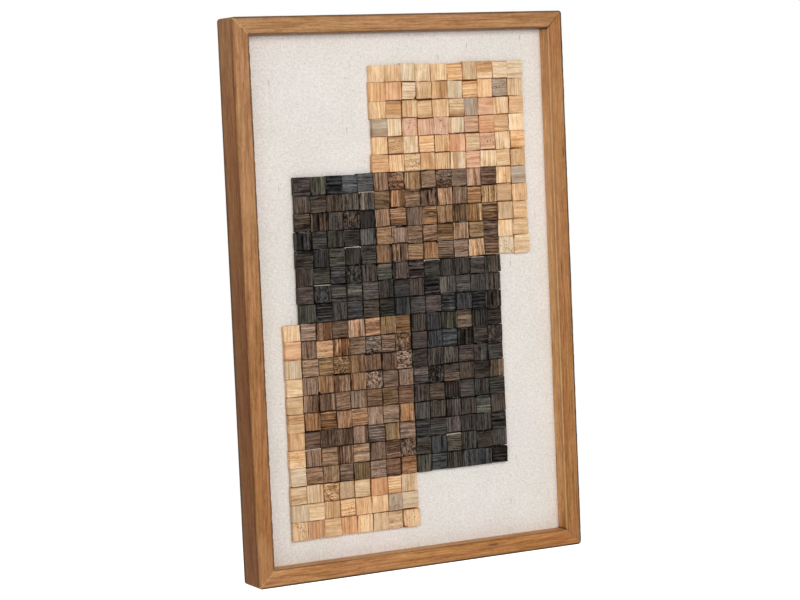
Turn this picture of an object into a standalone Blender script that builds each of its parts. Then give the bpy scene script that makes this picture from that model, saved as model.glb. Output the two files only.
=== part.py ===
"""Wood relief wall panel: a deep mitred frame round rows of small square wood blocks on a papered board.

Metres, +Z up. The panel faces -Y and its back lies in the plane Y = 0, against the wall. The origin is
the middle of the top rail's back face, where the panel is fixed.
"""

import math
import random

import bmesh
import bpy

# ---- driving dimensions ----
WIDTH = 0.600
HEIGHT = 0.900
DEPTH = 0.058
RAIL_FACE = 0.0285
RECESS = 0.0265
REBATE = 0.008
CORNER_RADIUS = 0.006
EASED_EDGE = 0.0014
JOINT_GAP = 0.0003
PAPER_THICKNESS = 0.0008
BOARD_THICKNESS = 0.006

# ---- the grid of blocks ----
COLUMNS = 16
ROWS = 26
COLUMN_PITCH = 0.0286
ROW_PITCH = 0.0290
GRID_TOP_MARGIN = 0.0802
GRID_SHIFT = 0.0011
BLOCK_THICKNESS = (0.0062, 0.0092)
LINE_WANDER = 0.0004
JOINT_WANDER = 0.0014
EDGE_WANDER = 0.0009
FREE_WANDER = 0.0013
LOOSEST_JOINT = 0.0026
TIGHTNESS = 12
TOUCH = 0.00006

# ---- where the pieces stand ----
RAIL_BACK = RAIL_FACE - REBATE
TOP = RAIL_BACK / 2
BOTTOM = TOP - HEIGHT
FRONT = -DEPTH
PAPER_FRONT = FRONT + RECESS
BOARD_FRONT = PAPER_FRONT + PAPER_THICKNESS + JOINT_GAP
BLOCK_BACK = PAPER_FRONT - JOINT_GAP
GRID_LEFT = GRID_SHIFT - COLUMNS * COLUMN_PITCH / 2
GRID_TOP = TOP - GRID_TOP_MARGIN

ARRIS_STEPS = 2
CORNER_STEPS = 4
GRID_SEED = 26

# Each wood's colour and roughness.
WOODS = {
    "pale": ((0.70, 0.47, 0.25), 0.7),
    "brown": ((0.26, 0.14, 0.075), 0.75),
    "black": ((0.035, 0.032, 0.030), 0.8),
}

# Each field of blocks: name, wood, first and last column, first and last row, and whether its strips
# stand upright instead of lying in rows. Columns count from the left, rows from the top.
FIELDS = [
    ("upper_pale_row", "pale", 7, 16, 1, 6, False),
    ("upper_pale_column", "pale", 15, 16, 7, 11, True),
    ("upper_brown_row", "brown", 7, 14, 7, 11, False),
    ("black_left_row", "black", 2, 6, 7, 11, False),
    ("black_middle_row", "black", 2, 14, 12, 14, False),
    ("black_right_row", "black", 9, 14, 15, 23, False),
    ("lower_brown_row", "brown", 2, 8, 15, 23, False),
    ("lower_pale_column", "pale", 1, 1, 15, 23, True),
    ("lower_pale_row", "pale", 1, 8, 24, 26, False),
]


def clear_scene():
    for leftover in list(bpy.data.objects):
        bpy.data.objects.remove(leftover, do_unlink=True)


def finish(name, colour, roughness):
    """A plain Principled material."""
    material = bpy.data.materials.new(name)
    material.use_nodes = True
    shader = material.node_tree.nodes["Principled BSDF"]
    shader.inputs["Base Color"].default_value = (*colour, 1.0)
    shader.inputs["Roughness"].default_value = roughness
    shader.inputs["Metallic"].default_value = 0.0
    return material


def add_object(name, shape, material):
    """Turns a bmesh into a named object with its faces pointing out."""
    bmesh.ops.recalc_face_normals(shape, faces=shape.faces)
    mesh = bpy.data.meshes.new(name)
    shape.to_mesh(mesh)
    shape.free()
    mesh.materials.append(material)
    piece = bpy.data.objects.new(name, mesh)
    bpy.context.collection.objects.link(piece)
    return piece


# ---- frame ----
def eased_corner(inward, depth, from_degrees):
    """Points of a rounded arris in the rail's section, turning a quarter turn from the given angle."""
    points = []
    for step in range(ARRIS_STEPS + 1):
        angle = math.radians(from_degrees + 90 * step / ARRIS_STEPS)
        points.append((inward + EASED_EDGE * math.cos(angle), depth + EASED_EDGE * math.sin(angle)))
    return points


def rail_section():
    """The rail's section as (distance in from the outer edge, Y): an L whose step is the rebate."""
    outer_front = eased_corner(EASED_EDGE, FRONT + EASED_EDGE, 180)
    inner_front = eased_corner(RAIL_FACE - EASED_EDGE, FRONT + EASED_EDGE, 270)
    rebate = [(RAIL_FACE, PAPER_FRONT - JOINT_GAP), (RAIL_BACK, PAPER_FRONT - JOINT_GAP), (RAIL_BACK, 0.0)]
    outer_back = eased_corner(EASED_EDGE, -EASED_EDGE, 90)
    return outer_front + inner_front + rebate + outer_back


def mitre_point(inward, half_length, step):
    """Where a section point lies near the rail's end: along the rail, and in from the outer edge.

    The last step lies in the mitre plane. Points close to the outer edge go round the frame's rounded corner.
    """
    play = JOINT_GAP / math.sqrt(2)
    share = step / CORNER_STEPS
    if inward >= CORNER_RADIUS:
        along = half_length - RAIL_FACE + (RAIL_FACE - inward) * share
        return along - play, inward
    angle = math.radians(45) * share
    reach = CORNER_RADIUS - inward
    along = half_length - CORNER_RADIUS + reach * math.sin(angle)
    return along - play, CORNER_RADIUS - reach * math.cos(angle)


def make_rail(name, length, turn, centre, material):
    """A mitred rail, modelled with its outer edge up and turned into place about Y."""
    section = rail_section()
    stations = [(-1, step) for step in range(CORNER_STEPS, -1, -1)]
    stations += [(1, step) for step in range(CORNER_STEPS + 1)]
    shape = bmesh.new()
    rings = []
    for side, step in stations:
        ring = []
        for inward, y in section:
            along, drop = mitre_point(inward, length / 2, step)
            ring.append(shape.verts.new((side * along, y, -drop)))
        rings.append(ring)
    for ring, following in zip(rings, rings[1:]):
        for i in range(len(section)):
            j = (i + 1) % len(section)
            shape.faces.new((ring[i], ring[j], following[j], following[i]))
    shape.faces.new(rings[0])
    shape.faces.new(rings[-1])
    bmesh.ops.remove_doubles(shape, verts=shape.verts, dist=1e-6)
    rail = add_object(name, shape, material)
    rail.rotation_euler = (0.0, turn, 0.0)
    rail.location = centre
    rail.data.shade_smooth()
    rail.data.set_sharp_from_angle(angle=math.radians(30))
    return rail


def make_frame():
    stain = finish("honey_stained_wood", (0.40, 0.185, 0.065), 0.55)
    middle = (TOP + BOTTOM) / 2
    make_rail("top_rail", WIDTH, 0.0, (0.0, 0.0, TOP), stain)
    make_rail("right_rail", HEIGHT, math.radians(90), (WIDTH / 2, 0.0, middle), stain.copy())
    make_rail("bottom_rail", WIDTH, math.radians(180), (0.0, 0.0, BOTTOM), stain.copy())
    make_rail("left_rail", HEIGHT, math.radians(270), (-WIDTH / 2, 0.0, middle), stain.copy())


# ---- boxes ----
def add_box(shape, low, high):
    centre = [(a + b) / 2 for a, b in zip(low, high)]
    box = bmesh.ops.create_cube(shape, size=1.0)
    bmesh.ops.scale(shape, vec=[b - a for a, b in zip(low, high)], verts=box["verts"])
    bmesh.ops.translate(shape, vec=centre, verts=box["verts"])


def make_board():
    """The board and the paper on it, both held in the rails' rebate."""
    half = WIDTH / 2 - RAIL_BACK - JOINT_GAP
    low = BOTTOM + RAIL_BACK + JOINT_GAP
    high = TOP - RAIL_BACK - JOINT_GAP
    board = bmesh.new()
    add_box(board, (-half, BOARD_FRONT, low), (half, BOARD_FRONT + BOARD_THICKNESS, high))
    add_object("backing_board", board, finish("plywood", (0.50, 0.36, 0.22), 0.75))
    paper = bmesh.new()
    add_box(paper, (-half, PAPER_FRONT, low), (half, PAPER_FRONT + PAPER_THICKNESS, high))
    add_object("backing_paper", paper, finish("rough_paper", (0.76, 0.73, 0.68), 0.95))


# ---- blocks ----
def joint(dice):
    """How far a block stays clear of its neighbour: mostly as close as it goes, seldom loose."""
    return JOINT_GAP + (LOOSEST_JOINT - JOINT_GAP) * dice.random() ** TIGHTNESS


def grid_lines(start, step, count, dice):
    """The lines that the blocks are set to, which wander a little as a hand-laid grid does."""
    return [start + step * i + dice.uniform(-LINE_WANDER, LINE_WANDER) for i in range(count + 1)]


def is_laid(column, row):
    """Whether a block, and not bare paper, is at a place of the grid."""
    return any(
        first_column <= column <= last_column and first_row <= row <= last_row
        for _, _, first_column, last_column, first_row, last_row, _ in FIELDS
    )


def edge_place(line, way, column, row, dice):
    """Where a block ends at a line: clear of the neighbour at that place, or loosely about a free edge."""
    if is_laid(column, row):
        return line - way * joint(dice) / 2
    return line + dice.uniform(-FREE_WANDER, FREE_WANDER)


def strip_spans(lines, first, last, before, after, dice):
    """From and to of each block along a strip, between the places before and after it in the grid.

    Neighbours in the strip meet on a joint that wanders off its line.
    """
    way = math.copysign(1.0, lines[-1] - lines[0])
    joints = [lines[i] + dice.uniform(-JOINT_WANDER, JOINT_WANDER) for i in range(first, last)]
    start = edge_place(lines[first - 1], -way, *before, dice)
    end = edge_place(lines[last], way, *after, dice)
    starts = [start] + [place - way * TOUCH for place in joints]
    ends = [place + way * TOUCH for place in joints] + [end]
    return list(zip(starts, ends))


def top_under(left, right, line, laid, dice):
    """Just under the blocks laid above a span, or loosely about the line at a free edge."""
    above = [
        low
        for first, last, low in laid
        if first - JOINT_GAP < right and last + JOINT_GAP > left and abs(low - line) < ROW_PITCH / 2
    ]
    if above:
        return min(above) - joint(dice)
    return line + dice.uniform(-FREE_WANDER, FREE_WANDER)


def row_boxes(spans, lines, number, laid, dice):
    """A level row's blocks, each pushed up against what lies above it, their lower edges a little uneven."""
    boxes = []
    for left, right in spans:
        top = top_under(left, right, lines[number - 1], laid, dice)
        bottom = lines[number] + dice.uniform(-EDGE_WANDER, EDGE_WANDER)
        boxes.append((left, right, bottom, top))
    return boxes


def column_boxes(spans, lines, number, first_row, laid, dice):
    """An upright column's blocks, whose first is pushed up against what lies above it."""
    boxes = []
    for row, (top, bottom) in enumerate(spans, first_row):
        left = edge_place(lines[number - 1], -1, number - 1, row, dice)
        right = edge_place(lines[number], 1, number + 1, row, dice)
        if not boxes:
            top = top_under(left, right, top, laid, dice)
        boxes.append((left, right, bottom, top))
    return boxes


def make_strip(name, boxes, material, dice):
    """Blocks that touch, side by side: every other block is one mesh, and a union joins the rest to it."""
    shapes = [bmesh.new(), bmesh.new()]
    for i, (left, right, bottom, top) in enumerate(boxes):
        front = BLOCK_BACK - dice.uniform(*BLOCK_THICKNESS)
        add_box(shapes[i % 2], (left, front, bottom), (right, BLOCK_BACK, top))
    strip = add_object(name, shapes[0], material)
    others = add_object(name + "_others", shapes[1], material)
    others.hide_render = True
    others.display_type = "WIRE"
    union = strip.modifiers.new("touching blocks", "BOOLEAN")
    union.operation = "UNION"
    union.object = others


def make_field(field, column_lines, row_lines, colour, roughness, laid, dice):
    """All the strips of one field, one after another from the left or from the top."""
    name, wood, first_column, last_column, first_row, last_row, upright = field
    if upright:
        numbers = range(first_column, last_column + 1)
    else:
        numbers = range(first_row, last_row + 1)
    for number in numbers:
        label = name if len(numbers) == 1 else f"{name}_{number - numbers[0] + 1}"
        if upright:
            before, after = (number, first_row - 1), (number, last_row + 1)
            spans = strip_spans(row_lines, first_row, last_row, before, after, dice)
            boxes = column_boxes(spans, column_lines, number, first_row, laid, dice)
        else:
            before, after = (first_column - 1, number), (last_column + 1, number)
            spans = strip_spans(column_lines, first_column, last_column, before, after, dice)
            boxes = row_boxes(spans, row_lines, number, laid, dice)
        laid += [(left, right, bottom) for left, right, bottom, _ in boxes]
        make_strip(label, boxes, finish(f"{wood}_wood", colour, roughness), dice)


def make_blocks():
    dice = random.Random(GRID_SEED)
    column_lines = grid_lines(GRID_LEFT, COLUMN_PITCH, COLUMNS, dice)
    row_lines = grid_lines(GRID_TOP, -ROW_PITCH, ROWS, dice)
    laid = []
    for field in FIELDS:
        make_field(field, column_lines, row_lines, *WOODS[field[1]], laid, dice)


clear_scene()
make_frame()
make_board()
make_blocks()
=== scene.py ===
"""Wood relief wall panel: its looks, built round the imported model.

Metres, +Z up. The panel faces -Y and its back lies in the plane Y = 0. Every block stands where its
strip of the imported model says, and gets a shape, a grain and a tone of its own from seeded rules.
"""

import math
import random

import bpy
import numpy as np
from mathutils import Matrix, Quaternion, Vector


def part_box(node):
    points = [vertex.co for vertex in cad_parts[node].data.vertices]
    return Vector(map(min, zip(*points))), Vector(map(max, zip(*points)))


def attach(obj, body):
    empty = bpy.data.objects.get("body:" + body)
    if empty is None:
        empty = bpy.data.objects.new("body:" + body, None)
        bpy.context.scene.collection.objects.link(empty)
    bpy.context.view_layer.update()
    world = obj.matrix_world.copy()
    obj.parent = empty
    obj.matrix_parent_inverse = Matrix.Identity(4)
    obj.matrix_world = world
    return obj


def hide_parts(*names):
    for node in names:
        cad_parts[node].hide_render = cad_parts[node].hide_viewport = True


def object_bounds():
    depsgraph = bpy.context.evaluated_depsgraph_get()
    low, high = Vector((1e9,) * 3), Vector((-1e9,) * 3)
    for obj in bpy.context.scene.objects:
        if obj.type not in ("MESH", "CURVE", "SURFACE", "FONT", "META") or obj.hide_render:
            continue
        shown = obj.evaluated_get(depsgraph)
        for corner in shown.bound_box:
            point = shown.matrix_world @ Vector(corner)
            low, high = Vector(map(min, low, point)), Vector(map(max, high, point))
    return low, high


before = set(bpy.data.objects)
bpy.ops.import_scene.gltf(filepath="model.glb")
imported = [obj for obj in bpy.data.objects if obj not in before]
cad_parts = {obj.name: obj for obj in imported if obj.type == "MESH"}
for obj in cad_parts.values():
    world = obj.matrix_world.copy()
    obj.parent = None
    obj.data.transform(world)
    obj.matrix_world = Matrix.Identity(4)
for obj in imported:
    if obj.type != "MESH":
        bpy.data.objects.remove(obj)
cad_low, cad_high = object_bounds()

# ---- sizes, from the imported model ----
FRONT = cad_low.y
FACE_CENTRE = Vector(((cad_low.x + cad_high.x) / 2, FRONT, (cad_low.z + cad_high.z) / 2))
WIDTH = cad_high.x - cad_low.x
HEIGHT = cad_high.z - cad_low.z
DEPTH = cad_high.y - cad_low.y
RAIL_FACE = cad_high.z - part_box("top_rail")[0].z
PAPER_LOW, PAPER_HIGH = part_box("backing_paper")
OPENING_TOP = cad_high.z - RAIL_FACE
JOINT_GAP = 0.0003
RAIL_BACK = cad_high.z - PAPER_HIGH.z - JOINT_GAP
CORNER_RADIUS = 0.006
CORNER_FACETS = 4

# ---- the blocks' own values ----
COLUMN_PITCH = 0.0286
ROW_PITCH = 0.0290
GRID_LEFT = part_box("lower_pale_column")[0].x
GRID_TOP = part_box("upper_pale_row_1")[1].z
BLOCK_SIDE = 0.0284
BLOCK_DEPTH = 0.0080
HALF_SIDE = BLOCK_SIDE / 2
TOUCHING_PLAY = (0.00008, 0.00120)
NEIGHBOUR_PLAY = (-0.00008, 0.00020)
LOOSENESS = 5
BLOCK_TWIST = math.radians(1.2)
BLOCK_TILT = math.radians(0.9)
BLOCK_SHEAR = 0.018
GRAIN_SLIPS = 0.14


# ---- modelling helpers ----
SAME_PLACE = 2e-5


def mode(name):
    bpy.ops.object.mode_set(mode=name)


def deselect_all():
    if bpy.context.object is not None and bpy.context.object.mode != "OBJECT":
        mode("OBJECT")
    bpy.ops.object.select_all(action="DESELECT")


def take(*pieces):
    """Selects just these pieces, and makes the first the active one."""
    deselect_all()
    for piece in pieces:
        piece.select_set(True)
    bpy.context.view_layer.objects.active = pieces[0]


def start_box(name, low, high):
    """A box between two corners, alone in the selection."""
    deselect_all()
    centre = [(a + b) / 2 for a, b in zip(low, high)]
    bpy.ops.mesh.primitive_cube_add(size=1.0, location=centre)
    box = bpy.context.object
    box.name = name
    box.scale = [b - a for a, b in zip(low, high)]
    bpy.ops.object.transform_apply(location=True, rotation=True, scale=True)
    return box


def pick(piece, kind, wanted):
    """Goes to edit mode with the vertices, edges or faces selected whose corner points the test wants."""
    mode("OBJECT")
    mesh = piece.data
    groups = {"VERT": mesh.vertices, "EDGE": mesh.edges, "FACE": mesh.polygons}
    for group in groups.values():
        group.foreach_set("select", [False] * len(group))
    for item in groups[kind]:
        if kind == "VERT":
            item.select = wanted([item.co])
        else:
            item.select = wanted([mesh.vertices[i].co for i in item.vertices])
    bpy.context.tool_settings.mesh_select_mode = [kind == name for name in groups]
    mode("EDIT")


def cut_across(point, normal, clear=False):
    """Cuts the whole mesh along a plane, and with clear takes off the side the normal points to."""
    bpy.ops.mesh.select_all(action="SELECT")
    bpy.ops.mesh.bisect(plane_co=point, plane_no=normal, clear_outer=clear, use_fill=clear)


def apply_modifier(piece, kind, **settings):
    take(piece)
    modifier = piece.modifiers.new(kind.lower(), kind)
    for key, value in settings.items():
        setattr(modifier, key, value)
    bpy.ops.object.modifier_apply(modifier=modifier.name)


def press_in(piece, points, depth, **figure):
    """Presses these points of a piece in, as far as depth here and there."""
    group = piece.vertex_groups.new(name="pressed")
    group.add(points, 1.0, "REPLACE")
    clouds = bpy.data.textures.new("pressed", "CLOUDS")
    clouds.use_clamp = True
    for key, value in figure.items():
        setattr(clouds, key, value)
    apply_modifier(piece, "DISPLACE", texture=clouds, strength=depth, mid_level=1.0, vertex_group=group.name)
    piece.vertex_groups.clear()


def near(a, b, reach=SAME_PLACE):
    return abs(a - b) < reach


def points_of(mesh):
    found = np.empty(len(mesh.vertices) * 3)
    mesh.vertices.foreach_get("co", found)
    return found.reshape(-1, 3)


def mark(mesh, name, values):
    """Keeps one vector for each vertex, which a material reads by its name."""
    layer = mesh.attributes.get(name) or mesh.attributes.new(name, "FLOAT_VECTOR", "POINT")
    layer.data.foreach_set("vector", np.ascontiguousarray(values, dtype=np.float32).ravel())


def smooth(piece, degrees):
    take(piece)
    bpy.ops.object.shade_smooth_by_angle(angle=math.radians(degrees))


# ---- material helpers ----
class Recipe:
    """A material, or the world, built up step by step. A step takes numbers, colours or other steps' outputs.

    A material's colour is laid in coats, each one over the colour so far.
    """

    def __init__(self, name, kind=bpy.data.materials, shader="Principled BSDF"):
        self.made = kind.new(name)
        self.made.use_nodes = True
        self.tree = self.made.node_tree
        self.shader = self.tree.nodes[shader]
        self.colour = None

    def steps(self):
        """The steps that are used most, to be called by their own names."""
        return (
            self.spread, self.sway, self.noise, self.coat, self.product, self.total, self.largest, self.less
        )

    def feed(self, socket, value):
        if isinstance(value, bpy.types.NodeSocket):
            self.tree.links.new(value, socket)
        else:
            socket.default_value = (*value, 1.0) if socket.type == "RGBA" else value

    def node(self, kind, inputs, **settings):
        made = self.tree.nodes.new(kind)
        for key, value in settings.items():
            setattr(made, key, value)
        for key, value in inputs.items():
            self.feed(made.inputs[key], value)
        return made

    def attribute(self, name):
        return self.node("ShaderNodeAttribute", {}, attribute_name=name).outputs["Vector"]

    def own_place(self):
        return self.node("ShaderNodeTexCoord", {}).outputs["Object"]

    def seen(self):
        """1 for what the camera sees, and 0 for what lights up other things."""
        return self.node("ShaderNodeLightPath", {}).outputs["Is Camera Ray"]

    def parts(self, vector):
        return self.node("ShaderNodeSeparateXYZ", {"Vector": vector}).outputs

    def marks(self, name):
        """The three numbers marked on a piece's points under a name."""
        return self.parts(self.attribute(name))

    def maths(self, operation, *values):
        return self.node("ShaderNodeMath", dict(enumerate(values)), operation=operation).outputs[0]

    def scaled(self, vector, scale, turn=0.0):
        """The vector stretched by one to three factors, the last for the rest, and turned about Y."""
        factors = (*scale, scale[-1], scale[-1])[:3]
        inputs = {"Vector": vector, "Rotation": (0, turn, 0), "Scale": factors}
        return self.node("ShaderNodeMapping", inputs).outputs["Vector"]

    def noise(self, vector, scale, detail=2.0, roughness=0.5, distortion=0.0):
        """Noise from 0 to 1 on the stretched vector."""
        inputs = {"Vector": self.scaled(vector, scale), "Scale": 1.0}
        inputs.update(Detail=detail, Roughness=roughness, Distortion=distortion)
        return self.node("ShaderNodeTexNoise", inputs).outputs["Fac"]

    def cells(self, vector, scale, turn=0.0):
        """A pattern of scattered cells: the distance to a cell's middle, and a random colour for each."""
        inputs = {"Vector": self.scaled(vector, scale, turn), "Scale": 1.0}
        return self.node("ShaderNodeTexVoronoi", inputs).outputs

    def spread(self, value, first, last, to_first=0.0, to_last=1.0):
        """Runs smoothly from to_first to to_last while the value goes, up or down, from first to last."""
        inputs = {0: value, 1: first, 2: last, 3: to_first, 4: to_last}
        made = self.node("ShaderNodeMapRange", inputs, interpolation_type="SMOOTHSTEP")
        return made.outputs["Result"]

    def sway(self, value, reach, amount):
        """Runs from -amount to amount while a noise goes from reach below its middle to reach above it."""
        return self.spread(value, 0.5 - reach, 0.5 + reach, -amount, amount)

    def ramp(self, value, stops):
        made = self.node("ShaderNodeValToRGB", {"Fac": value})
        ramp = made.color_ramp
        ramp.elements[0].position, ramp.elements[-1].position = stops[0][0], stops[-1][0]
        for place, _ in stops[1:-1]:
            ramp.elements.new(place)
        for element, (_, level) in zip(ramp.elements, stops):
            element.color = (level, level, level, 1.0)
        return made.outputs["Color"]

    def mix(self, amount, first, second, blend="MIX"):
        made = self.node("ShaderNodeMix", {0: amount}, data_type="RGBA", blend_type=blend)
        self.feed(made.inputs[6], first)
        self.feed(made.inputs[7], second)
        return made.outputs[2]

    def joined(self, operation, values):
        so_far = values[0]
        for value in values[1:]:
            so_far = self.maths(operation, so_far, value)
        return so_far

    def total(self, *values):
        return self.joined("ADD", values)

    def product(self, *values):
        return self.joined("MULTIPLY", values)

    def largest(self, *values):
        return self.joined("MAXIMUM", values)

    def least(self, *values):
        return self.joined("MINIMUM", values)

    def less(self, value, taken):
        return self.maths("SUBTRACT", value, taken)

    def moved(self, place, offset):
        return self.node("ShaderNodeVectorMath", {0: place, 1: offset}, operation="ADD").outputs[0]

    def shifted(self, place, own):
        """A place moved by a block's own number, so that no two blocks share a pattern."""
        shift = self.product(own, 60.0)
        return self.moved(place, self.node("ShaderNodeCombineXYZ", {"X": shift, "Y": shift}).outputs[0])

    def growth_rings(self, place, per_metre, drift, stops, own=0.0):
        """Where late wood lies in rings round the pith, from 0 to 1, and a random level for each ring."""
        _, across, deep = self.parts(place)
        squares = self.total(self.maths("POWER", across, 2.0), self.maths("POWER", deep, 2.0))
        phase = self.maths("MULTIPLY_ADD", self.maths("SQRT", squares), per_metre, drift)
        number = self.maths("MULTIPLY_ADD", own, 97.0, self.maths("FLOOR", phase))
        each = self.node("ShaderNodeTexWhiteNoise", {"W": number}, noise_dimensions="1D").outputs["Value"]
        return self.ramp(self.maths("FRACT", phase), stops), each

    def coat(self, colour, *amounts):
        """Lays a colour over the colour so far, as thickly as the amounts say together."""
        self.colour = self.mix(self.product(*amounts), self.colour, colour)

    def tint(self, factors, *amounts):
        """Multiplies the colour so far by the factors, as far as the amounts say together."""
        self.coat(self.mix(1.0, self.colour, factors, "MULTIPLY"), *amounts)

    def shade(self, amount, reach=(1.0, 1.0, 1.0)):
        """Makes the colour so far lighter or darker, as far as reach says for red, green and blue."""
        levels = [self.maths("MULTIPLY_ADD", amount, part, 1.0) for part in reach]
        grey = self.node("ShaderNodeCombineColor", dict(enumerate(levels))).outputs["Color"]
        self.colour = self.mix(1.0, self.colour, grey, "MULTIPLY")

    def settle(self, values):
        """Sets the shader's inputs, and returns what was made."""
        for name, value in values.items():
            self.feed(self.shader.inputs[name], value)
        return self.made

    def finish(self, roughness, height, relief, specular):
        """Puts a material's steps together: relief is the height in metres of a bump of 1."""
        bump = self.node("ShaderNodeBump", {"Height": height, "Strength": 1.0, "Distance": relief})
        return self.settle({
            "Base Color": self.colour,
            "Roughness": roughness,
            "Normal": bump.outputs["Normal"],
            "Specular IOR Level": specular,
        })


# ---- block shapes ----
BLOCK_FRONT = -BLOCK_DEPTH / 2
RING_LIMIT = HALF_SIDE - 0.0006
END_REACH = 0.0012
CRACK_DEPTH = 0.0028
CRACK_HALF_WIDTH = 0.0004
PITS_ALONG = 8
PITS_ACROSS = 12
PITTED = 0.36


def start_block(name, arris):
    """A plain sawn block, its grain along X and its front to -Y, with eased front arrises and corners."""
    half = Vector((HALF_SIDE, BLOCK_DEPTH / 2, HALF_SIDE))
    block = start_box(name, -half, half)
    pick(block, "EDGE", lambda ends: all(near(e.y, BLOCK_FRONT) for e in ends) or ends[0].y != ends[1].y)
    bpy.ops.mesh.bevel(offset=arris, segments=1, affect="EDGES")
    return block


def score(along=(), across=()):
    """Cuts through a block at these places along its grain and across it."""
    for x in along:
        cut_across((x, 0, 0), (1, 0, 0))
    for z in across:
        cut_across((0, 0, z), (0, 0, 1))


def sink(block, wanted, depth):
    """Presses the front points that the test wants back into the block."""
    pick(block, "VERT", lambda ends: ends[0].y < BLOCK_FRONT / 2 and wanted(ends[0]))
    bpy.ops.transform.translate(value=(0, depth, 0))


def plain_block(name, chance):
    """Planed: flat, with softly rounded arrises round its front."""
    block = start_block(name, chance.uniform(0.0005, 0.0009))
    pick(block, "EDGE", lambda ends: all(near(e.y, BLOCK_FRONT) for e in ends))
    bpy.ops.mesh.bevel(offset=0.0003, segments=2, affect="EDGES")
    mode("OBJECT")
    return block, None


def ring_lines(rings):
    """Where each ring's soft wood lies deepest and its hard wood stands highest, across the block."""
    spacing = BLOCK_SIDE / rings
    first = -math.floor(rings / 2) - 1
    lines = [(spacing * (i + 0.10), spacing * (i + 0.80)) for i in range(first, -first + 1)]
    return spacing, [pair for pair in lines if abs(pair[0]) < RING_LIMIT]


def ridged_block(name, rings, depth, chance):
    """Weathered: the soft wood of every ring is worn back, and the hard wood stands out as ridges."""
    block = start_block(name, chance.uniform(0.0004, 0.0007))
    spacing, lines = ring_lines(rings)
    mode("EDIT")
    score(across=[line for pair in lines for line in pair if abs(line) < RING_LIMIT])
    for soft, _ in lines:
        sink(block, lambda p, soft=soft: near(p.z, soft), depth * chance.uniform(0.5, 1.0))
    mode("OBJECT")
    return block, spacing


def eroded_block(name, rings, depth, chance):
    """Rotted: ridges as on weathered wood, but sunk unevenly along their length."""
    block, spacing = ridged_block(name, rings, depth * 0.5, chance)
    crossings = sorted(chance.uniform(-0.8, 0.8) * HALF_SIDE for _ in range(2))
    mode("EDIT")
    score(along=crossings)
    stations = [-HALF_SIDE] + crossings + [HALF_SIDE]
    for soft, hard in ring_lines(rings)[1]:
        for x in stations:
            reach = END_REACH if abs(x) == HALF_SIDE else SAME_PLACE
            worn = depth * chance.uniform(0.1, 1.0)
            sink(block, lambda p: near(p.z, soft) and near(p.x, x, reach), worn)
            sink(block, lambda p: near(p.z, hard) and near(p.x, x, reach), worn * chance.uniform(0, 0.6))
    mode("OBJECT")
    return block, spacing


def wormed_block(name, holes, chance):
    """Worm-eaten: small round holes, more or less in line with the grain."""
    block, _ = plain_block(name, chance)
    drills = []
    for _ in range(holes):
        deselect_all()
        place = (chance.uniform(-0.8, 0.8) * HALF_SIDE, BLOCK_FRONT, chance.gauss(0, 0.35) * HALF_SIDE)
        bpy.ops.mesh.primitive_cylinder_add(
            vertices=6,
            radius=chance.uniform(0.0005, 0.0011),
            depth=chance.uniform(0.003, 0.006),
            location=place,
            rotation=(math.radians(90 + chance.uniform(-20, 20)), 0, chance.uniform(-0.4, 0.4)),
        )
        drills.append(bpy.context.object)
    for drill in drills:
        apply_modifier(block, "BOOLEAN", operation="DIFFERENCE", object=drill)
        bpy.data.objects.remove(drill)
    return block, None


def evenly(reach, steps):
    """Places from -reach to reach in even steps."""
    return [reach * (2 * i / steps - 1) for i in range(steps + 1)]


def gnawed_block(name, chance):
    """Riddled with galleries: the front is a mesh of pits and crests, drawn out along the grain."""
    block = start_block(name, 0.0006)
    reach = HALF_SIDE - 0.0007
    half_step = reach / PITS_ACROSS
    stations = evenly(reach, PITS_ALONG)
    lines = evenly(reach, PITS_ACROSS)
    mode("EDIT")
    score(stations[1:-1], lines[1:-1])
    depths = {}
    for i in range(len(stations)):
        for k in range(len(lines)):
            if chance.random() < PITTED:
                depths[i, k] = chance.uniform(0.0003, 0.0010)
    for (i, k), depth in depths.items():
        sink(block, lambda p: near(p.x, stations[i], half_step) and near(p.z, lines[k], half_step / 2), depth)
    mode("OBJECT")
    return block, None


def chipped_block(name, rings, chance):
    """A block with a corner broken off its front."""
    block, spacing = ridged_block(name, rings, 0.0002, chance)
    mode("EDIT")
    side = chance.choice((-1, 1))
    reach = chance.uniform(0.003, 0.007)
    corner = Vector((HALF_SIDE - reach, BLOCK_FRONT, side * HALF_SIDE))
    cut_across(corner, Vector((0.6, -0.5, side * chance.uniform(0.5, 0.9))), clear=True)
    cut_across(corner + Vector((reach * 0.6, 0, 0)), Vector((0.9, -0.6, side * 0.3)), clear=True)
    mode("OBJECT")
    return block, spacing


def split_block(name, chance):
    """A block with a drying crack that runs in from one end along the grain."""
    block, _ = plain_block(name, chance)
    line = chance.uniform(-0.6, 0.6) * HALF_SIDE
    start = chance.uniform(-0.6, 0.3) * HALF_SIDE
    mode("EDIT")
    score(across=(line - CRACK_HALF_WIDTH, line, line + CRACK_HALF_WIDTH))
    score(along=(start,))
    sink(block, lambda p: near(p.z, line) and p.x > start + SAME_PLACE, CRACK_DEPTH)
    mode("OBJECT")
    return block, None


def make_shapes():
    """The stock of block shapes that the strips are laid from, as (block, ring spacing) by kind."""
    chance = random.Random(404)
    return {
        "plain": [plain_block(f"plain_{i}", chance) for i in range(3)],
        "ridged": [ridged_block(f"ridged_{n}", n, 0.0007, chance) for n in (5, 6, 7, 8)],
        "eroded": [eroded_block(f"eroded_{n}", n, 0.0014, chance) for n in (4, 5, 6)],
        "wormed": [wormed_block(f"wormed_{n}", n, chance) for n in (4, 6, 7)],
        "gnawed": [gnawed_block(f"gnawed_{i}", chance) for i in range(2)],
        "chipped": [chipped_block(f"chipped_{n}", n, chance) for n in (5, 6, 7)],
        "split": [split_block(f"split_{i}", chance) for i in range(3)],
    }


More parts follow.
